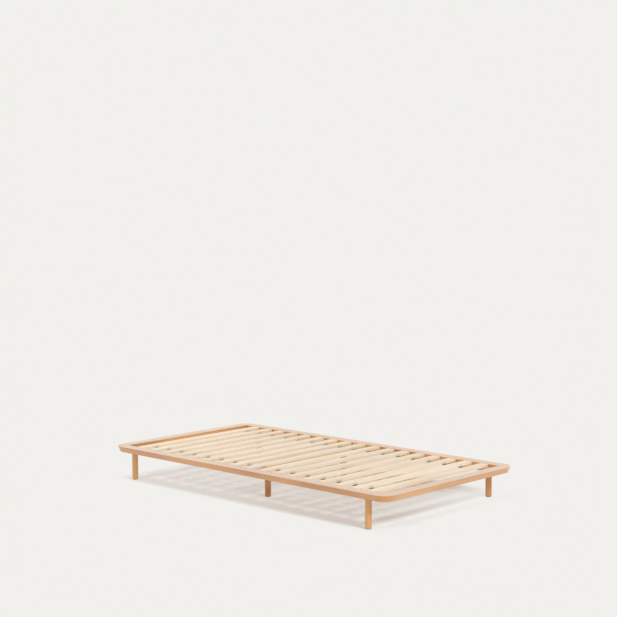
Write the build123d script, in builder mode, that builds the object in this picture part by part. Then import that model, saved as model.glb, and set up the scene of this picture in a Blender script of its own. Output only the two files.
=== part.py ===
from build123d import *
from math import atan2, degrees
import os

# A low wooden bed frame: four flat rails with rounded corners, seventeen slats laid on two
# ledgers, and six round legs, two of them under a cross beam at mid length.
# The origin is on the floor, under the middle of the frame. +X runs along the bed, +Y towards
# its back side rail and +Z up. All lengths are millimetres.

# --- the frame of four rails ---
bed_length = 2160.0
bed_width = 1142.0
floor_clearance = 160.0
rail_width = 71.0
rail_height = 34.0
undercut = 14.5
corner_radius = 80.0
rail_top_round = 2.0
rail_bottom_round = 1.5

# --- slats and ledgers ---
slat_count = 17
slat_width = 54.0
slat_thickness = 15.0
slat_edge_round = 2.0
slat_recess = 1.0
slat_side_gap = 3.0
slat_row_gap = 70.0
ledger_width = 45.0
ledger_end_gap = 1.0

# --- webbing straps that keep the slats apart ---
strap_inset = 109.0
strap_width = 35.0
strap_thickness = 1.2
strap_end_margin = 6.0
strap_gap = 0.2
staple_crown = 11.0
staple_leg = 9.0
staple_wire = 1.0

# --- cross beam ---
beam_width = 70.0
beam_height = 30.0
beam_gap = 0.5
strap_notch_depth = 4.0
strap_notch_margin = 5.0
wood_chamfer = 1.0

# --- legs, their fixings and feet ---
leg_diameter = 36.0
leg_inset_x = 157.0
leg_inset_y = 45.5
middle_leg_offset = 324.0
leg_foot_round = 2.5
pad_diameter = 30.0
pad_thickness = 3.0
bolt_diameter = 8.0
bolt_depth_in_leg = 35.0
bolt_chamfer = 1.0
insert_diameter = 12.0
insert_length = 20.0
insert_flange_diameter = 17.0
insert_flange_thickness = 1.5

# --- corner joints ---
dowel_diameter = 10.0
dowel_length = 40.0
dowel_inset = 14.0
dowel_spacing = 24.0
dowel_chamfer = 1.5
plate_width = 25.0
plate_arm = 90.0
plate_thickness = 3.0
plate_inset = 5.0
plate_corner_round = 4.0
plate_screw_end_margin = 10.0
plate_screw_spacing = 20.0

# --- screws ---
screw_diameter = 4.5
screw_head_diameter = 8.5
screw_socket = 3.0
screw_socket_depth = 1.8
plate_screw_bite = 15.0
ledger_screw_bite = 20.0
ledger_screws_per_side = 6
ledger_screw_end_margin = 160.0
beam_screw_cover = 6.0
beam_screw_spacing = 40.0

# --- clearances ---
hole_clearance = 0.1

# --- levels and lines worked out from these sizes ---
inner_length = bed_length - 2 * rail_width
inner_width = bed_width - 2 * rail_width
rail_bottom = floor_clearance
rail_top = rail_bottom + rail_height
joint_level = rail_bottom + rail_height / 2
slat_bottom = rail_top - slat_recess - slat_thickness
slat_length = inner_width - 2 * slat_side_gap
slat_row_length = inner_length - 2 * slat_row_gap
slat_pitch = (slat_row_length - slat_width) / (slat_count - 1)
ledger_height = slat_bottom - rail_bottom
ledger_length = inner_length - 2 * ledger_end_gap
ledger_middle = (inner_width - ledger_width) / 2
beam_bottom = slat_bottom - beam_height
beam_length = inner_width - 2 * beam_gap
strap_bottom = slat_bottom - strap_gap - strap_thickness
strap_offset = slat_length / 2 - strap_inset
leg_x = bed_length / 2 - leg_inset_x
leg_y = bed_width / 2 - leg_inset_y
plate_corner_x = inner_length / 2 + plate_inset + plate_width
plate_corner_y = inner_width / 2 + plate_inset + plate_width
plate_screw_length = plate_thickness + plate_screw_bite
ledger_screw_length = ledger_width + ledger_screw_bite
beam_screw_length = beam_height - beam_screw_cover

# Each leg by its name: its place in plan and the level of the wood that it carries.
legs = {
    "front_left": (-leg_x, -leg_y, rail_bottom),
    "front_right": (leg_x, -leg_y, rail_bottom),
    "back_left": (-leg_x, leg_y, rail_bottom),
    "back_right": (leg_x, leg_y, rail_bottom),
    "middle_front": (0, -middle_leg_offset, beam_bottom),
    "middle_back": (0, middle_leg_offset, beam_bottom),
}
# Each corner by its name: the signs of its x and y.
corners = {"front_left": (-1, -1), "front_right": (1, -1), "back_left": (-1, 1), "back_right": (1, 1)}
sides = {"front": -1, "back": 1}
ends = {"left": -1, "right": 1}
# Each strap by its name: its y.
straps = {name: side * strap_offset for name, side in sides.items()}


# --- the places of the fixings, each used for the hole and for the piece in it ---
def dowel_places():
    """Two dowels lie along x across each corner joint."""
    first = inner_width / 2 + dowel_inset
    return [
        Location((end * inner_length / 2, side * (first + step), joint_level), (0, 90, 0))
        for end, side in corners.values()
        for step in (0, dowel_spacing)
    ]


def plate_screw_places():
    """Two screws stand near the end of each arm of each corner plate."""
    far = plate_arm - plate_screw_end_margin
    return [
        Location((end * (plate_corner_x - along_x), side * (plate_corner_y - along_y), rail_bottom))
        for end, side in corners.values()
        for step in (far, far - plate_screw_spacing)
        for along_x, along_y in ((step, plate_width / 2), (plate_width / 2, step))
    ]


def ledger_screw_places():
    """A row of screws points outwards through each ledger into its side rail."""
    span = ledger_length - 2 * ledger_screw_end_margin
    pitch = span / (ledger_screws_per_side - 1)
    face = inner_width / 2 - ledger_width
    level = rail_bottom + ledger_height / 2
    return [
        Location((pitch * number - span / 2, side * face, level), (-90 * side, 0, 0))
        for side in sides.values()
        for number in range(ledger_screws_per_side)
    ]


def beam_screw_places():
    """Two screws point up through each end of the beam into the ledger above it."""
    return [
        Location((step * beam_screw_spacing / 2, side * ledger_middle, beam_bottom))
        for side in sides.values()
        for step in (-1, 1)
    ]


def slat_places():
    """The x of the middle of each slat."""
    first = (slat_width - slat_row_length) / 2
    return [first + slat_pitch * number for number in range(slat_count)]


def staple_places(y):
    """One staple stands in each slat, up through the strap that lies at this y."""
    return [Location((x, y, strap_bottom)) for x in slat_places()]


leg_places = [Location(place) for place in legs.values()]


# --- small pieces and the holes that they fit, each drawn about its own place ---
def screw(length, clearance=0.0):
    """A countersunk screw that points up from its head at z = 0, or with a clearance its hole."""
    shank = screw_diameter / 2 + clearance
    head = screw_head_diameter / 2 + clearance
    with BuildPart() as fastener:
        with BuildSketch(Plane.XZ):
            with BuildLine():
                Polyline(
                    (0, 0),
                    (head, 0),
                    (shank, head - shank),
                    (shank, length - screw_diameter + clearance),
                    (0, length + clearance),
                    close=True,
                )
            make_face()
        revolve(axis=Axis.Z)
        if clearance == 0:
            with BuildSketch(Plane.XY):
                RegularPolygon(screw_socket / 2, 6, major_radius=False)
            extrude(amount=screw_socket_depth, mode=Mode.SUBTRACT)
    return fastener.part


def dowel(clearance=0.0):
    """A chamfered wooden pin about z, or with a clearance the hole for it."""
    with BuildPart() as pin:
        Cylinder(dowel_diameter / 2 + clearance, dowel_length + 2 * clearance)
        if clearance == 0:
            chamfer(pin.edges().filter_by(GeomType.CIRCLE), dowel_chamfer)
    return pin.part


def corner_plate(end, side, clearance=0.0):
    """A flat steel angle in the underside of one corner, or with a clearance the pocket for it."""
    arm = plate_arm + 2 * clearance
    width = plate_width + 2 * clearance
    x = end * (plate_corner_x + clearance)
    y = side * (plate_corner_y + clearance)
    with BuildPart() as plate:
        with BuildSketch(Plane.XY.offset(rail_bottom)) as outline:
            with Locations((x - end * arm / 2, y - side * width / 2)):
                Rectangle(arm, width)
            with Locations((x - end * width / 2, y - side * arm / 2)):
                Rectangle(width, arm)
            fillet(outline.vertices(), plate_corner_round)
        extrude(amount=plate_thickness + clearance)
        if clearance == 0:
            with Locations(*plate_screw_places()):
                add(screw(plate_screw_length, hole_clearance), mode=Mode.SUBTRACT)
    return plate.part


def leg_insert(clearance=0.0):
    """A flanged threaded insert up from z = 0, or with a clearance the stepped hole for it."""
    with BuildPart() as insert:
        with BuildSketch(Plane.XY):
            Circle(insert_flange_diameter / 2 + clearance)
        extrude(amount=insert_flange_thickness + clearance)
        with BuildSketch(Plane.XY):
            Circle(insert_diameter / 2 + clearance)
        extrude(amount=insert_length + clearance)
        if clearance == 0:
            with BuildSketch(Plane.XY):
                Circle(bolt_diameter / 2 + hole_clearance)
            extrude(amount=insert_length, mode=Mode.SUBTRACT)
    return insert.part


def leg_bolt(clearance=0.0):
    """A headless bolt from inside the leg up into the insert, or with a clearance its hole."""
    with BuildPart() as bolt:
        with BuildSketch(Plane.XY.offset(-bolt_depth_in_leg - clearance)):
            Circle(bolt_diameter / 2 + clearance)
        extrude(amount=bolt_depth_in_leg + insert_length)
        if clearance == 0:
            chamfer(bolt.edges().filter_by(GeomType.CIRCLE), bolt_chamfer)
    return bolt.part


def staple_legs(clearance=0.0):
    """The two points of a staple, up from z = 0, or with a clearance the holes that they make."""
    with BuildPart() as points:
        with BuildSketch(Plane.XY):
            with GridLocations(staple_crown - staple_wire, 1, 2, 1):
                Rectangle(staple_wire + 2 * clearance, staple_wire + 2 * clearance)
        extrude(amount=staple_leg + clearance)
    return points.part


def staple():
    """A wire staple whose crown lies just below z = 0."""
    with BuildPart() as wire:
        add(staple_legs())
        with BuildSketch(Plane.XY):
            Rectangle(staple_crown, staple_wire)
        extrude(amount=-staple_wire)
    return wire.part


def group(piece, places):
    """Separate copies of one small piece, one at each place."""
    with BuildPart() as copies:
        with Locations(*places):
            add(piece)
    return copies.part


def save(piece, name):
    """Label a finished piece and write it as a node of its own."""
    piece.label = name
    export_step(piece, f"parts/{name}.step")


os.makedirs("parts", exist_ok=True)

# --- the four rails, shaped as one ring and then parted at the corner joints ---
with BuildPart() as rail_ring:
    with BuildSketch(Plane.XY.offset(rail_top)):
        RectangleRounded(bed_length, bed_width, corner_radius)
    extrude(amount=-rail_height, taper=degrees(atan2(undercut, rail_height)))
    with BuildSketch(Plane.XY.offset(rail_top)):
        Rectangle(inner_length, inner_width)
    extrude(amount=-rail_height, mode=Mode.SUBTRACT)
    fillet(rail_ring.edges().group_by(Axis.Z)[-1], rail_top_round)
    fillet(rail_ring.edges().group_by(Axis.Z)[0], rail_bottom_round)
    with Locations(*dowel_places()):
        add(dowel(hole_clearance), mode=Mode.SUBTRACT)
    for end, side in corners.values():
        add(corner_plate(end, side, hole_clearance), mode=Mode.SUBTRACT)
    with Locations(*plate_screw_places()):
        add(screw(plate_screw_length, hole_clearance), mode=Mode.SUBTRACT)
    with Locations(*ledger_screw_places()):
        add(screw(ledger_screw_length, hole_clearance), mode=Mode.SUBTRACT)
    with Locations(*leg_places):
        add(leg_insert(hole_clearance), mode=Mode.SUBTRACT)

for name, side in sides.items():
    with BuildPart() as side_rail:
        add(rail_ring.part)
        with Locations((0, side * bed_width / 2, joint_level)):
            Box(inner_length, bed_width, 2 * rail_height, mode=Mode.INTERSECT)
    save(side_rail.part, f"side_rail_{name}")

for name, end in ends.items():
    with BuildPart() as end_rail:
        add(rail_ring.part)
        with Locations((end * (inner_length + bed_length) / 2, 0, joint_level)):
            Box(bed_length, 2 * bed_width, 2 * rail_height, mode=Mode.INTERSECT)
    save(end_rail.part, f"end_rail_{name}")

# --- the corner joints ---
save(group(dowel(), dowel_places()), "corner_dowels")
for name, (end, side) in corners.items():
    save(corner_plate(end, side), f"corner_plate_{name}")
save(group(screw(plate_screw_length), plate_screw_places()), "corner_plate_screws")

# --- the ledgers inside the side rails ---
for name, side in sides.items():
    with BuildPart() as ledger:
        with BuildSketch(Plane.XY.offset(rail_bottom)):
            with Locations((0, side * ledger_middle)):
                Rectangle(ledger_length, ledger_width)
        extrude(amount=ledger_height)
        chamfer(ledger.edges().filter_by(Axis.X), wood_chamfer)
        with Locations(*ledger_screw_places()):
            add(screw(ledger_screw_length, hole_clearance), mode=Mode.SUBTRACT)
        with Locations(*beam_screw_places()):
            add(screw(beam_screw_length, hole_clearance), mode=Mode.SUBTRACT)
    save(ledger.part, f"ledger_{name}")
save(group(screw(ledger_screw_length), ledger_screw_places()), "ledger_screws")

# --- the cross beam, cut down at its ends to pass under the ledgers, and notched for the straps ---
with BuildPart() as cross_beam:
    with BuildSketch(Plane.XY.offset(beam_bottom)):
        Rectangle(beam_width, beam_length)
    extrude(amount=beam_height)
    chamfer(cross_beam.edges().filter_by(Axis.Y), wood_chamfer)
    with BuildSketch(Plane.XY.offset(rail_bottom)):
        with GridLocations(1, 2 * ledger_middle, 1, 2):
            Rectangle(beam_width, ledger_width + 2 * beam_gap)
    extrude(amount=ledger_height, mode=Mode.SUBTRACT)
    with BuildSketch(Plane.XY.offset(slat_bottom)):
        with Locations(*[(0, y) for y in straps.values()]):
            Rectangle(beam_width, strap_width + 2 * strap_notch_margin)
    extrude(amount=-strap_notch_depth, mode=Mode.SUBTRACT)
    with Locations(*leg_places):
        add(leg_insert(hole_clearance), mode=Mode.SUBTRACT)
    with Locations(*beam_screw_places()):
        add(screw(beam_screw_length, hole_clearance), mode=Mode.SUBTRACT)
save(cross_beam.part, "cross_beam")
save(group(screw(beam_screw_length), beam_screw_places()), "beam_screws")

# --- the slats ---
for number, x in enumerate(slat_places(), 1):
    with BuildPart() as slat:
        with BuildSketch(Plane.XY.offset(slat_bottom)):
            with Locations((x, 0)):
                Rectangle(slat_width, slat_length)
        extrude(amount=slat_thickness)
        fillet(slat.edges().filter_by(Axis.Y), slat_edge_round)
        with Locations(*[(x, y, strap_bottom) for y in straps.values()]):
            add(staple_legs(hole_clearance), mode=Mode.SUBTRACT)
    save(slat.part, f"slat_{number:02d}")

# --- the straps below the slats ---
for name, y in straps.items():
    with BuildPart() as strap:
        with BuildSketch(Plane.XY.offset(strap_bottom)):
            with Locations((0, y)):
                Rectangle(slat_row_length - 2 * strap_end_margin, strap_width)
        extrude(amount=strap_thickness)
        with Locations(*staple_places(y)):
            add(staple_legs(hole_clearance), mode=Mode.SUBTRACT)
    save(strap.part, f"strap_{name}")
    save(group(staple(), staple_places(y)), f"strap_staples_{name}")

# --- the legs, their pads and fixings ---
for name, (x, y, top) in legs.items():
    with BuildPart() as leg:
        with BuildSketch(Plane((x, y, pad_thickness))):
            Circle(leg_diameter / 2)
        extrude(amount=top - pad_thickness)
        fillet(leg.edges().sort_by(Axis.Z)[0], leg_foot_round)
        with Locations((x, y, top)):
            add(leg_bolt(hole_clearance), mode=Mode.SUBTRACT)
    save(leg.part, f"leg_{name}")
    with BuildPart() as foot_pad:
        with BuildSketch(Plane((x, y, 0))):
            Circle(pad_diameter / 2)
        extrude(amount=pad_thickness)
    save(foot_pad.part, f"foot_pad_{name}")
save(group(leg_insert(), leg_places), "leg_inserts")
save(group(leg_bolt(), leg_places), "leg_bolts")
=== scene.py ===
import math
from collections import namedtuple

import bmesh
import bpy
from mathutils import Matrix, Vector


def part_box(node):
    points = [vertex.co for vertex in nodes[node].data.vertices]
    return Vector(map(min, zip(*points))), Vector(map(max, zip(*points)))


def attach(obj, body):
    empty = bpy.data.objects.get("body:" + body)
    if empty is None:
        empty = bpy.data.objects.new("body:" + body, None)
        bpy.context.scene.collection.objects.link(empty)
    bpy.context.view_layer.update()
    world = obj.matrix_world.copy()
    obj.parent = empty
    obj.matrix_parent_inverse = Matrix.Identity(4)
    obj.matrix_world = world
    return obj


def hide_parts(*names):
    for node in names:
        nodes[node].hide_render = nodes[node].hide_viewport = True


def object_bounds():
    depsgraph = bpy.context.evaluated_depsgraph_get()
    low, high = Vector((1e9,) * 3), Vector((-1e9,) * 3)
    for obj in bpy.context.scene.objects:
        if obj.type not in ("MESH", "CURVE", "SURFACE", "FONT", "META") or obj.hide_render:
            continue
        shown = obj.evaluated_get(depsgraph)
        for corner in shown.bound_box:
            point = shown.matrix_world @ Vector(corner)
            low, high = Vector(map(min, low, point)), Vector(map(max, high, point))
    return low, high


# The looks of a low wooden bed frame: the solid wood of every board and leg, the woven straps and
# the felt pads, in a pale studio. Lengths are metres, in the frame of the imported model: +X along
# the bed, +Y towards its back rail, +Z up, with the floor at z = 0.
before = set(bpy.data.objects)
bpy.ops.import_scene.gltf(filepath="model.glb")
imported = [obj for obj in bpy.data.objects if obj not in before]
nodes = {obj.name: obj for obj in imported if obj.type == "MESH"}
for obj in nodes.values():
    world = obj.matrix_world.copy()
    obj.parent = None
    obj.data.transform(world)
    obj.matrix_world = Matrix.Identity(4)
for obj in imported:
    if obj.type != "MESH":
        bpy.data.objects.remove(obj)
cad_low, cad_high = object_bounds()


# --- colours ---
def srgb(red, green, blue):
    """The linear colour of an 8 bit sRGB colour, with alpha."""
    shares = [channel / 255 for channel in (red, green, blue)]
    return [s / 12.92 if s <= 0.04045 else ((s + 0.055) / 1.055) ** 2.4 for s in shares] + [1.0]


def toned(colour, tone):
    """A colour with its red, green and blue each times a share."""
    return [channel * share for channel, share in zip(colour, tone)] + [1.0]


BACKDROP = srgb(241, 240, 236)
RAIL_PALE, RAIL_DARK = srgb(229, 167, 99), srgb(197, 134, 74)
SLAT_PALE, SLAT_DARK = srgb(247, 232, 210), srgb(236, 211, 182)
BATTEN_PALE, BATTEN_DARK = srgb(224, 184, 136), srgb(196, 152, 102)
ZINC_DULL, ZINC_BRIGHT = srgb(176, 178, 180), srgb(222, 223, 224)
WEBBING_DARK, WEBBING_PALE = srgb(47, 44, 39), srgb(98, 92, 82)
FELT_DARK, FELT_PALE = srgb(118, 100, 82), srgb(176, 158, 134)


# --- node trees ---
class Shader:
    """The node tree of one material or world, with a short method for each kind of node."""

    def __init__(self, owner):
        owner.use_nodes = True
        self.owner = owner
        self.tree = owner.node_tree
        self.tree.nodes.clear()

    def node(self, kind, values=None, **settings):
        """Adds a node. Each value goes to the input of that name or number, or is linked to it."""
        made = self.tree.nodes.new("ShaderNode" + kind)
        for key, setting in settings.items():
            setattr(made, key, setting)
        for key, value in (values or {}).items():
            if isinstance(value, bpy.types.NodeSocket):
                self.tree.links.new(value, made.inputs[key])
            else:
                made.inputs[key].default_value = value
        return made

    def math(self, operation, first, second=0.0):
        return self.node("Math", {0: first, 1: second}, operation=operation).outputs[0]

    def sum(self, *terms):
        total = terms[0]
        for term in terms[1:]:
            total = self.math("ADD", total, term)
        return total

    def times(self, first, second):
        return self.math("MULTIPLY", first, second)

    def centred(self, value):
        """A value that runs from 0 to 1, moved to run evenly about 0."""
        return self.sum(value, -0.5)

    def span(self, value, start, end, low=0.0, high=1.0, smooth=True):
        """Value, taken from start..end to low..high and held there."""
        kind = "SMOOTHSTEP" if smooth else "LINEAR"
        values = {0: value, 1: start, 2: end, 3: low, 4: high}
        return self.node("MapRange", values, interpolation_type=kind).outputs[0]

    def split(self, vector):
        return self.node("SeparateXYZ", {0: vector}).outputs

    def join(self, x, y, z):
        return self.node("CombineXYZ", {0: x, 1: y, 2: z}).outputs[0]

    def vector(self, operation, first, second):
        return self.node("VectorMath", {0: first, 1: second}, operation=operation).outputs[0]

    def scaled(self, vector, factor):
        return self.node("VectorMath", {0: vector, "Scale": factor}, operation="SCALE").outputs[0]

    def noise(self, vector, detail, roughness=0.5, scale=1.0):
        values = {"Vector": vector, "Scale": scale, "Detail": detail, "Roughness": roughness}
        return self.node("TexNoise", values).outputs[0]

    def blend(self, share, first, second):
        """A colour between first and second. The share is held between 0 and 1."""
        return self.node("Mix", {0: share, 6: first, 7: second}, data_type="RGBA").outputs[2]

    def bump(self, height, depth, strength):
        return self.node("Bump", {"Height": height, "Distance": depth, "Strength": strength}).outputs[0]

    def surface(self, values):
        """Ends the tree in a Principled surface."""
        self.end(self.node("BsdfPrincipled", values).outputs[0])

    def end(self, result, kind="OutputMaterial"):
        """Ends the tree in an output of that kind."""
        self.node(kind, {"Surface": result})


def shader(name):
    """The empty node tree of a new material."""
    return Shader(bpy.data.materials.new(name))


# --- wood ---
# What makes a kind of wood: the width of a growth ring, and how strongly rings, fibres, broad
# clouds and flecks darken it.
Kind = namedtuple("Kind", "ring rings fibres clouds flecks")
HARD = Kind(ring=0.0036, rings=0.30, fibres=0.35, clouds=2.8, flecks=0.25)
SOFT = Kind(ring=0.0026, rings=0.45, fibres=0.24, clouds=1.6, flecks=0.0)
# Each board has one random number. Multiples of it give three more, and it moves the pattern along.
DRAW_MULTIPLES = (7.31, 19.7, 43.9)
ALONG_SHIFT = 40.0
# How fine each pattern is, in features per metre along the grain and across it.
WANDER_SCALES = (1.6, 7.0)
CLOUD_SCALES = (2.4, 13.0)
STRAND_SCALES = (2.2, 130.0)
FIBRE_SCALES = (22.0, 1100.0)
FLECK_SCALES = (260.0, 1500.0)
# The pith lies PITH under the board's middle, deeper by up to PITH_DEEPER, and to one side by up to
# half of PITH_ASIDE. It leans from side to side along the board and wanders in depth.
PITH = 0.07
PITH_DEEPER, PITH_ASIDE = 0.05, 0.07
LEAN, LEAN_RATE = 0.022, 1.1
WANDER = 0.02
# How many times in a ring's width the spacing of the rings changes, and by up to how many rings.
DRIFT_SCALE, DRIFT = 0.45, 1.6
# Late wood darkens from this share of a ring to its peak, and is over at the ring's end.
LATE_START, LATE_PEAK = 0.25, 0.93
# How far from the middle of its cell a fleck ends, and how far it is full.
FLECK_EDGE, FLECK_CORE = 0.34, 0.12
# The tone of plain wood between pale, 0, and dark, 1, and how much coarse strands count beside fibres.
BASE_TONE = 0.32
STRAND_SHARE = 1.5
# How much the boards differ in lightness and hue, and how much darker their cut ends are. A face
# begins to count as a cut end when it looks along the grain by more than END_FACING.
VARIETY, HUE_VARIETY = 0.06, 0.008
END_DARKENING, END_FACING = 0.10, 0.8
# How much each pattern lifts the surface in the relief of the grain.
FIBRE_LIFT, STRAND_LIFT, LATE_LIFT, FLECK_LIFT = 0.5, 0.35, -0.25, -0.3
GRAIN_DEPTH, GRAIN_STRENGTH = 0.0004, 0.35
# How far a board's smoothest places are under its own roughness, and by how much fibres and
# strands raise it again.
SMOOTHEST_UNDER = 0.10
FIBRE_ROUGHNESS, STRAND_ROUGHNESS = 0.12, 0.10
LACQUER_ROUGHNESS = 0.08


def board_axes(s, generated, size, grain):
    """The place in a board, from its middle: along the grain, across it, and through it."""
    centred = s.vector("SUBTRACT", generated, (0.5, 0.5, 0.5))
    x, y, z = s.split(s.vector("MULTIPLY", centred, size))
    return {"X": (x, y, z), "Y": (y, x, z), "Z": (z, x, y)}[grain]


def drawn_out(s, axes, scales):
    """Coordinates of a pattern that is drawn out along the grain."""
    along, across, deep = axes
    lengthways, crossways = scales
    return s.join(s.times(along, lengthways), s.times(across, crossways), s.times(deep, crossways))


def late_wood(s, axes, draws, ring, pith):
    """The dark late wood in each growth ring, about a pith that runs slightly askew to the board."""
    along, across, deep = axes
    wander = s.noise(drawn_out(s, axes, WANDER_SCALES), detail=2.0)
    lean = s.times(s.math("SINE", s.times(along, LEAN_RATE)), LEAN)
    side = s.sum(across, s.times(s.centred(draws[0]), PITH_ASIDE), lean)
    depth = s.sum(deep, pith, s.times(draws[1], PITH_DEEPER), s.times(s.centred(wander), WANDER))
    radius = s.math("SQRT", s.sum(s.math("POWER", side, 2.0), s.math("POWER", depth, 2.0)))
    drift_values = {"W": radius, "Scale": DRIFT_SCALE / ring, "Detail": 2.0}
    drift = s.node("TexNoise", drift_values, noise_dimensions="1D").outputs[0]
    phase = s.math("FRACT", s.sum(s.times(radius, 1.0 / ring), s.times(drift, DRIFT)))
    return s.times(s.span(phase, LATE_START, LATE_PEAK), s.span(phase, 1.0, LATE_PEAK))


def short_flecks(s, axes):
    """Short dark flecks along the grain, 1 in the middle of each."""
    values = {"Vector": drawn_out(s, axes, FLECK_SCALES), "Scale": 1.0}
    cells = s.node("TexVoronoi", values).outputs["Distance"]
    return s.span(cells, FLECK_EDGE, FLECK_CORE)


def board_shade(s, colour, draws, end):
    """Gives each board its own shade, and its cut ends a darker one."""
    value = s.sum(1.0 - VARIETY / 2, s.times(draws[2], VARIETY), s.times(end, -END_DARKENING))
    hue = s.sum(0.5 - HUE_VARIETY / 2, s.times(draws[0], HUE_VARIETY))
    return s.node("HueSaturation", {"Hue": hue, "Value": value, "Color": colour}).outputs[0]


def wood(name, kind, grain, size, pale, dark, roughness, lacquer=0.0, pith=PITH):
    """Solid wood with its fibres along one axis and growth rings about a pith outside the board.
    The pattern fills the board, so its sides, faces and ends belong together."""
    s = shader(name)
    coordinates = s.node("TexCoord").outputs
    board = s.node("ObjectInfo").outputs["Random"]
    draws = [s.math("FRACT", s.times(board, multiple)) for multiple in DRAW_MULTIPLES]
    along, across, deep = board_axes(s, coordinates["Generated"], size, grain)
    axes = (s.sum(along, s.times(board, ALONG_SHIFT)), across, deep)

    late = late_wood(s, axes, draws, kind.ring, pith)
    fibres = s.noise(drawn_out(s, axes, FIBRE_SCALES), detail=3.0, roughness=0.6)
    strands = s.noise(drawn_out(s, axes, STRAND_SCALES), detail=3.0, roughness=0.6)
    cloud = s.noise(drawn_out(s, axes, CLOUD_SCALES), detail=3.0)
    tone = s.sum(
        s.times(late, kind.rings),
        s.times(s.centred(fibres), kind.fibres),
        s.times(s.centred(strands), STRAND_SHARE * kind.fibres),
        s.times(s.centred(cloud), kind.clouds),
        BASE_TONE,
    )
    lift = s.sum(s.times(fibres, FIBRE_LIFT), s.times(strands, STRAND_LIFT), s.times(late, LATE_LIFT))
    if kind.flecks:
        fleck = short_flecks(s, axes)
        tone = s.sum(tone, s.times(fleck, kind.flecks))
        lift = s.sum(lift, s.times(fleck, FLECK_LIFT))

    facing = s.split(coordinates["Normal"])["XYZ".index(grain)]
    end = s.span(s.math("ABSOLUTE", facing), END_FACING, 1.0)
    rough = s.sum(
        roughness - SMOOTHEST_UNDER,
        s.times(fibres, FIBRE_ROUGHNESS),
        s.times(strands, STRAND_ROUGHNESS),
    )
    s.surface({
        "Base Color": board_shade(s, s.blend(tone, pale, dark), draws, end),
        "Roughness": rough,
        "Normal": s.bump(lift, GRAIN_DEPTH, GRAIN_STRENGTH),
        "Coat Weight": lacquer,
        "Coat Roughness": LACQUER_ROUGHNESS,
    })
    return s.owner


# --- metal, webbing and felt ---
# How fine each pattern is, in features per metre.
CRYSTAL_SCALE, CLOUDING_SCALE, SCUFF_SCALE = 420.0, 160.0, 1400.0
FUZZ_SCALE, WEAR_SCALE = 2600.0, 60.0
FELT_FIBRE_SCALE, CLUMP_SCALE = 900.0, 210.0
# The spacing of the threads that cross the strap and of those that run along it.
WEFT_PITCH, WARP_PITCH = 0.0016, 0.0012
# The fibres of pressed felt are this much finer from top to bottom than they are sideways.
FELT_PRESSED = (1.0, 1.0, 2.6)
# How deep the relief of each surface is, and how rough its smoothest places are.
SCUFF_DEPTH, WEAVE_DEPTH, FELT_DEPTH = 0.00006, 0.0002, 0.0005
ZINC_ROUGHNESS, WEBBING_ROUGHNESS, FELT_ROUGHNESS = 0.24, 0.70, 0.85


def zinc_plate(name):
    """Bright zinc on steel, with cloudy crystals and fine scuffs."""
    s = shader(name)
    place = s.node("TexCoord").outputs["Object"]
    crystals = s.node("TexVoronoi", {"Vector": place, "Scale": CRYSTAL_SCALE}).outputs["Color"]
    patch = s.split(crystals)[0]
    cloud = s.noise(place, detail=3.0, roughness=0.6, scale=CLOUDING_SCALE)
    scuff = s.noise(place, detail=4.0, roughness=0.7, scale=SCUFF_SCALE)
    brightness = s.sum(s.times(patch, 0.5), s.times(cloud, 0.5))
    s.surface({
        "Base Color": s.blend(brightness, ZINC_DULL, ZINC_BRIGHT),
        "Metallic": 1.0,
        "Roughness": s.sum(ZINC_ROUGHNESS, s.times(patch, 0.14), s.times(scuff, 0.16)),
        "Normal": s.bump(s.sum(scuff, patch), SCUFF_DEPTH, strength=0.4),
    })
    return s.owner


def webbing(name):
    """Dark polyester webbing, in a fine plain weave with a little fuzz."""
    s = shader(name)
    place = s.node("TexCoord").outputs["Object"]
    x, y, _ = s.split(place)
    weft = s.math("SINE", s.times(x, 2 * math.pi / WEFT_PITCH))
    warp = s.math("SINE", s.times(y, 2 * math.pi / WARP_PITCH))
    cell = s.span(s.times(weft, warp), -1.0, 1.0, smooth=False)
    fuzz = s.noise(place, detail=3.0, roughness=0.7, scale=FUZZ_SCALE)
    worn = s.noise(place, detail=3.0, scale=WEAR_SCALE)
    paleness = s.sum(s.times(cell, 0.5), s.times(fuzz, 0.35), s.times(worn, 0.25))
    s.surface({
        "Base Color": s.blend(paleness, WEBBING_DARK, WEBBING_PALE),
        "Roughness": s.sum(WEBBING_ROUGHNESS, s.times(fuzz, 0.25)),
        "Normal": s.bump(s.sum(cell, s.times(fuzz, 0.5)), WEAVE_DEPTH, strength=0.6),
        "Sheen Weight": 0.25,
        "Sheen Roughness": 0.4,
    })
    return s.owner


def felt(name):
    """Pressed brown felt with a fibrous surface."""
    s = shader(name)
    place = s.node("TexCoord").outputs["Object"]
    pressed = s.vector("MULTIPLY", place, FELT_PRESSED)
    fibres = s.noise(pressed, detail=5.0, roughness=0.75, scale=FELT_FIBRE_SCALE)
    clumps = s.noise(place, detail=3.0, roughness=0.6, scale=CLUMP_SCALE)
    paleness = s.times(s.sum(s.times(fibres, 0.7), s.times(clumps, 0.5)), 0.85)
    s.surface({
        "Base Color": s.blend(paleness, FELT_DARK, FELT_PALE),
        "Roughness": s.sum(FELT_ROUGHNESS, s.times(clumps, 0.12)),
        "Normal": s.bump(s.sum(fibres, clumps), FELT_DEPTH, strength=0.7),
        "Sheen Weight": 0.35,
        "Sheen Roughness": 0.5,
    })
    return s.owner


# --- which wood each board is made of ---
def size_of(node):
    """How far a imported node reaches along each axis."""
    low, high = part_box(node)
    return high - low


def hardwood(name, grain, node, tone=(1.0, 1.0, 1.0), roughness=0.22, lacquer=1.0, pith=PITH):
    """The oiled wood of the rails and legs, in one board's own tone, which for the back rail and some legs
    is painted light and shade.
    """
    pale, dark = toned(RAIL_PALE, tone), toned(RAIL_DARK, tone)
    return wood(name, HARD, grain, size_of(node), pale, dark, roughness, lacquer, pith)


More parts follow.
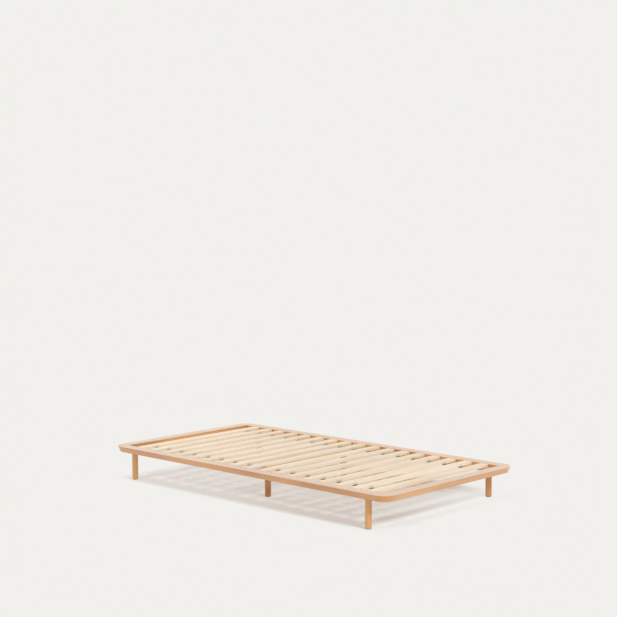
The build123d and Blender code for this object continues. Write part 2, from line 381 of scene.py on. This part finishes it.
def softwood(name, grain, node, pale, dark):
    """The bare planed wood of the slats and battens."""
    return wood(name, SOFT, grain, size_of(node), pale, dark, roughness=0.55)


# How much lighter or darker each leg is than the rails' wood, in red, green and blue. The middle
# legs, under the bed, and the back right leg, in its shadow, are darker as painted shade.
LEG_TONES_AND_PAINTED_SHADE = {
    "leg_front_": (1.01, 1.10, 1.28),
    "leg_middle_front": (0.82, 0.71, 0.70),
    "leg_middle_back": (0.62, 0.56, 0.58),
    "leg_back_left": (0.95, 0.92, 0.92),
    "leg_back_right": (0.83, 0.75, 0.75),
}
LEG_ROUGHNESS, LEG_LACQUER, LEG_PITH = 0.36, 0.6, 0.03
# Every node with one of these words in its name is of metal.
METAL_WORDS = ("screws", "inserts", "bolts", "staples", "corner_plate")


def wood_finishes():
    """The material of every wooden node, by how the node's name starts."""
    finishes = {
        "side_rail_front": hardwood("front_rail_wood", "X", "side_rail_front",
                                    tone=(0.97, 0.97, 0.95), roughness=0.16),
        # The back rail's paler tone is painted light: it lifts its shaded inner face as bounce light from
        # the slats would.
        "side_rail_back": hardwood("back_rail_wood", "X", "side_rail_back",
                                   tone=(1.07, 1.20, 1.36), roughness=0.34, lacquer=0.9),
        "end_rail_": hardwood("end_rail_wood", "Y", "end_rail_left", tone=(0.94, 0.98, 0.96)),
        "corner_dowels": hardwood("dowel_wood", "X", "corner_dowels"),
        "slat_": softwood("slat_wood", "Y", "slat_01", SLAT_PALE, SLAT_DARK),
        "ledger_": softwood("ledger_wood", "X", "ledger_front", BATTEN_PALE, BATTEN_DARK),
        "cross_beam": softwood("beam_wood", "Y", "cross_beam", BATTEN_PALE, BATTEN_DARK),
    }
    # The darker middle legs and back right leg carry painted shade in their colour.
    for start, tone in LEG_TONES_AND_PAINTED_SHADE.items():
        finishes[start] = hardwood(start.strip("_") + "_wood", "Z", "leg_front_left", tone,
                                   LEG_ROUGHNESS, LEG_LACQUER, LEG_PITH)
    return finishes


def finish_nodes():
    """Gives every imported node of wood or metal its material. Straps and pads are pieces below."""
    finishes = wood_finishes()
    zinc = zinc_plate("zinc_plate")
    for name, thing in nodes.items():
        if any(word in name for word in METAL_WORDS):
            found = [zinc]
        else:
            found = [finish for start, finish in finishes.items() if name.startswith(start)]
        if found:
            thing.data.materials.clear()
            thing.data.materials.append(found[0])


finish_nodes()


# --- straps and pads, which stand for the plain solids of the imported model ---
def new_piece(name, mesh, material, replaced):
    """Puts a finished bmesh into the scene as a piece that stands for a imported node."""
    data = bpy.data.meshes.new(name)
    bmesh.ops.recalc_face_normals(mesh, faces=mesh.faces)
    mesh.to_mesh(data)
    mesh.free()
    data.materials.append(material)
    for face in data.polygons:
        face.use_smooth = True
    piece = bpy.data.objects.new(name, data)
    bpy.context.scene.collection.objects.link(piece)
    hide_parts(replaced)
    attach(piece, "root")


def loft(mesh, loops):
    """Skins a row of closed loops, each a list of corners, and closes both ends."""
    rows = [[mesh.verts.new(corner) for corner in loop] for loop in loops]
    for row, following in zip(rows, rows[1:]):
        for i, corner in enumerate(row):
            mesh.faces.new((row[i - 1], corner, following[i], following[i - 1]))
    mesh.faces.new(rows[0])
    mesh.faces.new(rows[-1])


# A strap's ribs on each face, waves of this half height, and the steps that draw each one.
RIB_COUNT, RIB_STEPS = 13, 4
RIB_HEIGHT = 0.00012
# Where the corners of its round edges lie, in degrees from straight out.
EDGE_TURNS = (45, 0, -45)
# How far it sags in the middle of a gap, and the steps along it on each slat and in each gap.
STRAP_SAG = 0.0018
SAG_STEPS = 10


def strap_section(width, thickness):
    """The strap's section, all the way round: ribs on both faces between two round edges."""
    steps = RIB_STEPS * RIB_COUNT
    edge = thickness / 2
    flat = width - 2 * edge
    corners = []
    for sign in (1, -1):
        for i in range(steps + 1):
            share = i / steps
            rib = RIB_HEIGHT * (math.cos(2 * math.pi * RIB_COUNT * share) - 1)
            corners.append((sign * flat * (share - 0.5), sign * (edge + rib)))
        for turn in EDGE_TURNS:
            angle = math.radians(turn)
            corners.append((sign * (flat / 2 + edge * math.cos(angle)), sign * edge * math.sin(angle)))
    return corners


def strap_stations(low, high):
    """Places along a strap, each with how far it sags there: not under a slat, a little in a gap."""
    edges = []
    for slat in sorted(n for n in nodes if n.startswith("slat_")):
        slat_low, slat_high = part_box(slat)
        edges.append((max(slat_low.x, low.x), min(slat_high.x, high.x)))
    stations = []
    for (start, end), following in zip(edges, edges[1:] + [None]):
        stations += [(start + (end - start) * i / SAG_STEPS, 0.0) for i in range(SAG_STEPS + 1)]
        if following:
            for i in range(1, SAG_STEPS):
                share = i / SAG_STEPS
                drop = STRAP_SAG * math.sin(math.pi * share) ** 2
                stations.append((end + (following[0] - end) * share, drop))
    return stations


def make_strap(name, node, material):
    """A strap, flat where it is stapled under a slat and sagging a little in each gap."""
    low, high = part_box(node)
    middle = (low + high) / 2
    section = strap_section(high.y - low.y, high.z - low.z)
    loops = [[(x, middle.y + y, middle.z + z - drop) for y, z in section]
             for x, drop in strap_stations(low, high)]
    mesh = bmesh.new()
    loft(mesh, loops)
    new_piece(name, mesh, material, node)


PAD_TURNS = 72
# The pad's outline from its underside to its top: shares of its radius and of its thickness.
PAD_OUTLINE = [(0.35, 0.0), (0.80, 0.0), (0.945, 0.0), (0.985, 0.12), (1.0, 0.38), (0.995, 0.68),
               (0.965, 0.90), (0.93, 1.0), (0.80, 1.0), (0.35, 1.0)]
# Beyond this share of its radius the pad is ragged, in waves. Each has half its depth as a share of
# the radius, its number round the pad, and its shift from the underside to the top, in radians.
RAGGED_FROM = 0.9
RAGGED_WAVES = [(0.006, 7, 5), (0.005, 17, -9)]


def raggedness(turn, rise):
    """The share of its radius by which the pad's edge stands back, at a turn and a height."""
    return sum(depth * (1 + math.sin(count * turn + twist * rise)) for depth, count, twist in RAGGED_WAVES)


def make_pad(name, node, material):
    """A felt pad pressed under its leg, so that its edge is round and slightly ragged."""
    low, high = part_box(node)
    middle = (low + high) / 2
    radius = (high.x - low.x) / 2
    loops = []
    for share, rise in PAD_OUTLINE:
        height = low.z + (high.z - low.z) * rise
        loop = []
        for i in range(PAD_TURNS):
            turn = 2 * math.pi * i / PAD_TURNS
            ragged = raggedness(turn, rise) if share > RAGGED_FROM else 0.0
            reach = radius * share * (1 - ragged)
            loop.append((middle.x + reach * math.cos(turn), middle.y + reach * math.sin(turn), height))
        loops.append(loop)
    mesh = bmesh.new()
    loft(mesh, loops)
    new_piece(name, mesh, material, node)


strap_material = webbing("strap_webbing")
for side in ("front", "back"):
    make_strap(f"woven_strap_{side}", f"strap_{side}", strap_material)
felt_material = felt("pad_felt")
for node in sorted(n for n in nodes if n.startswith("foot_pad_")):
    make_pad(node.replace("foot_pad", "felt_pad"), node, felt_material)


# --- studio: floor, world, lamps ---
# The sky is as bright as EVEN all round and brighter by ABOVE straight overhead. On an open floor
# two thirds of the latter count.
EVEN, ABOVE = 0.50, 0.37
OPEN_SKY = EVEN + ABOVE * 2 / 3
# Each lamp by its name: its place, its power in watts and its radius.
LAMPS = {
    "key_right": (Vector((5.2, -1.0, 3.7)), 447.0, 0.43),
    "fill_left": (Vector((-1.95, -0.43, 1.75)), 36.0, 0.12),
}
# These light the floor alone, so that its shadows are crisp while the wood is lit softly.
FLOOR_LAMPS = {
    "floor_right": (Vector((4.2, -0.95, 2.9)), 20000.0, 0.50),
    "floor_left": (Vector((-2.05, -0.55, 1.9)), 900.0, 0.10),
    "floor_front": (Vector((-0.4, -4.8, 3.4)), 7000.0, 0.25),
}
FLOOR_HALF = 60.0
# How deep a full shadow on the floor is at the bed's left and right ends, and from where to where
# it fades out beyond the ends, the front rail and the back rail.
DEPTH_LEFT, DEPTH_RIGHT = 0.26, 0.42
FADE_ENDS, FADE_FRONT, FADE_BACK = (-0.08, 0.01), (-0.03, 0.04), (-0.05, 0.35)
# From CHANGE_FRONT to CHANGE_BACK it gets deeper by the share BACK_CHANGE, but from CORNER_LEFT to
# CORNER_RIGHT that turns into CORNER_CHANGE, so that little is left of it in the right back corner.
CHANGE_FRONT, CHANGE_BACK = -0.35, 0.60
CORNER_LEFT, CORNER_RIGHT = 0.45, 0.85
BACK_CHANGE, CORNER_CHANGE = 0.6, -0.7
# The depth in red, green and blue: the shade under the warm wood is warm.
SHADOW_TINT = (0.81, 1.07, 1.18)
# No lamp casts the faint soft shade on the floor behind the bed. It has this depth, and comes and
# goes between these places, across the bed and along it.
BEHIND_DEPTH = 0.17
BEHIND_COMES, BEHIND_GOES = (0.0, 0.80), (0.90, 1.42)
BEHIND_LEFT, BEHIND_RIGHT = (-1.30, -0.10), (0.28, 0.61)


def seen_directly(s):
    """1 for camera, glossy and transmission rays, 0 for the rays that carry light."""
    path = s.node("LightPath").outputs
    mirrored = s.math("MAXIMUM", path["Is Glossy Ray"], path["Is Transmission Ray"])
    return s.math("MAXIMUM", path["Is Camera Ray"], mirrored)


def lamp_shares(s, position, lamps):
    """How brightly each lamp lights an open floor, where a white sky alone gives 1. A lamp's power
    goes evenly to all sides, and the light of a white sky on the floor comes to pi."""
    shares = []
    for place, power, _ in lamps.values():
        reach = s.node("VectorMath", {0: position, 1: place}, operation="DISTANCE").outputs["Value"]
        strength = power * place.z / (4 * math.pi ** 2)
        shares.append(s.math("DIVIDE", strength, s.math("POWER", reach, 3.0)))
    return shares


def shadow_depth(s, position):
    """How much of the floor's colour a full shadow takes, as a grey value at each place."""
    x, y, _ = s.split(position)
    beyond_ends = s.sum(s.math("ABSOLUTE", x), -cad_high.x)
    beyond_front = s.sum(cad_low.y, s.times(y, -1.0))
    beyond_back = s.sum(y, -cad_high.y)
    inside = s.span(beyond_ends, *FADE_ENDS, 1.0, 0.0)
    inside = s.times(inside, s.span(beyond_front, *FADE_FRONT, 1.0, 0.0))
    inside = s.times(inside, s.span(beyond_back, *FADE_BACK, 1.0, 0.0))
    towards_back = s.span(y, CHANGE_FRONT, CHANGE_BACK)
    change = s.times(towards_back, s.span(x, CORNER_LEFT, CORNER_RIGHT, BACK_CHANGE, CORNER_CHANGE))
    depth = s.times(s.span(x, cad_low.x, cad_high.x, DEPTH_LEFT, DEPTH_RIGHT), s.sum(change, 1.0))
    return s.times(inside, depth)


def shade_behind(s, position):
    """How much of the floor's colour the soft shade behind the bed takes, as a grey value."""
    x, y, _ = s.split(position)
    across = s.times(s.span(y, *BEHIND_COMES), s.span(y, *BEHIND_GOES, 1.0, 0.0))
    along = s.times(s.span(x, *BEHIND_LEFT), s.span(x, *BEHIND_RIGHT, 1.0, 0.0))
    return s.times(s.times(across, along), BEHIND_DEPTH)


def floor_surface(name):
    """A pale matt floor that is the plain backdrop colour wherever nothing shades it, so that it
    meets the world without a line. It can be seen through from below."""
    s = shader(name)
    geometry = s.node("NewGeometry").outputs
    position = geometry["Position"]
    common = s.sum(OPEN_SKY, *lamp_shares(s, position, LAMPS))
    total = s.sum(common, *lamp_shares(s, position, FLOOR_LAMPS))
    # Seen directly the open floor is the backdrop colour. The light that it passes on to the bed
    # is what the lamps that light the bed would give.
    level = s.sum(common, s.times(seen_directly(s), s.math("SUBTRACT", 1.0, common)))
    taken = s.scaled(SHADOW_TINT, shade_behind(s, position))
    kept = s.vector("SUBTRACT", (1.0, 1.0, 1.0), taken)
    full = s.vector("MULTIPLY", s.scaled(BACKDROP[:3], level), kept)
    # A matt share takes the shadows, and the rest of the colour is steady.
    shaded = s.vector("MULTIPLY", full, s.scaled(SHADOW_TINT, shadow_depth(s, position)))
    steady = s.vector("SUBTRACT", full, shaded)
    matt_colour = s.scaled(shaded, s.math("DIVIDE", 1.0, total))
    matt = s.node("BsdfDiffuse", {"Color": matt_colour}).outputs[0]
    plain = s.node("Emission", {"Color": steady, "Strength": 1.0}).outputs[0]
    top = s.node("AddShader", {0: matt, 1: plain}).outputs[0]
    clear = s.node("BsdfTransparent").outputs[0]
    below = s.times(geometry["Backfacing"], s.node("LightPath").outputs["Is Camera Ray"])
    s.end(s.node("MixShader", {0: below, 1: top, 2: clear}).outputs[0])
    return s.owner


def studio_floor():
    """The floor, a single wide square that isn't part of the object."""
    mesh = bmesh.new()
    bmesh.ops.create_grid(mesh, x_segments=1, y_segments=1, size=FLOOR_HALF)
    data = bpy.data.meshes.new("floor")
    mesh.to_mesh(data)
    mesh.free()
    data.materials.append(floor_surface("studio_floor"))
    floor = bpy.data.objects.new("floor", data)
    bpy.context.scene.collection.objects.link(floor)
    return floor


def studio_world():
    """Soft light from all round, behind the plain backdrop colour."""
    world = bpy.data.worlds.new("studio")
    bpy.context.scene.world = world
    s = Shader(world)
    height = s.split(s.node("TexCoord").outputs["Generated"])[2]
    strength = s.sum(EVEN, s.times(s.math("MAXIMUM", height, 0.0), ABOVE))
    sky = s.node("Background", {"Color": (1.0, 1.0, 1.0, 1.0), "Strength": strength}).outputs[0]
    backdrop = s.node("Background", {"Color": BACKDROP, "Strength": 1.0}).outputs[0]
    s.end(s.node("MixShader", {0: seen_directly(s), 1: sky, 2: backdrop}).outputs[0], "OutputWorld")


def soft_lamp(name, place, power, radius):
    """A round soft lamp that is seen neither by itself nor as a spot in the oiled wood."""
    data = bpy.data.lights.new(name, "POINT")
    data.energy = power
    data.shadow_soft_size = radius
    lamp = bpy.data.objects.new(name, data)
    lamp.location = place
    lamp.visible_camera = False
    lamp.visible_glossy = False
    bpy.context.scene.collection.objects.link(lamp)
    return lamp


def studio_lamps(floor):
    """The lamps that light everything, and those that light the floor alone."""
    for name, lamp in LAMPS.items():
        soft_lamp(name, *lamp)
    floor_alone = bpy.data.collections.new("lit_by_floor_lamps")
    floor_alone.objects.link(floor)
    for name, lamp in FLOOR_LAMPS.items():
        soft_lamp(name, *lamp).light_linking.receiver_collection = floor_alone


studio_world()
studio_lamps(studio_floor())

# --- camera ---
# The camera looks at AIM from an azimuth to the right of the front and from above, in degrees.
VIEW_AZIMUTH, VIEW_TILT = 42.892, 4.882
VIEW_DISTANCE = 8.319
AIM = Vector((0.0, 0.0144, 1.0528))
FARTHEST_SEEN = 200.0
# The width of the sensor and the focal length, in millimetres.
SENSOR_WIDTH, LENS = 36.0, 83.63


def place_camera():
    """The camera, level from side to side and without depth of field."""
    azimuth = math.radians(VIEW_AZIMUTH)
    tilt = math.radians(VIEW_TILT)
    level = math.cos(tilt)
    away = Vector((math.sin(azimuth) * level, -math.cos(azimuth) * level, math.sin(tilt)))
    data = bpy.data.cameras.new("camera")
    data.sensor_width = SENSOR_WIDTH
    data.lens = LENS
    data.clip_end = FARTHEST_SEEN
    camera = bpy.data.objects.new("camera", data)
    camera.location = AIM + away * VIEW_DISTANCE
    camera.rotation_mode = "QUATERNION"
    camera.rotation_quaternion = away.to_track_quat("Z", "Y")
    bpy.context.scene.collection.objects.link(camera)
    bpy.context.scene.camera = camera


place_camera()
bpy.context.scene.view_settings.view_transform = "Standard"
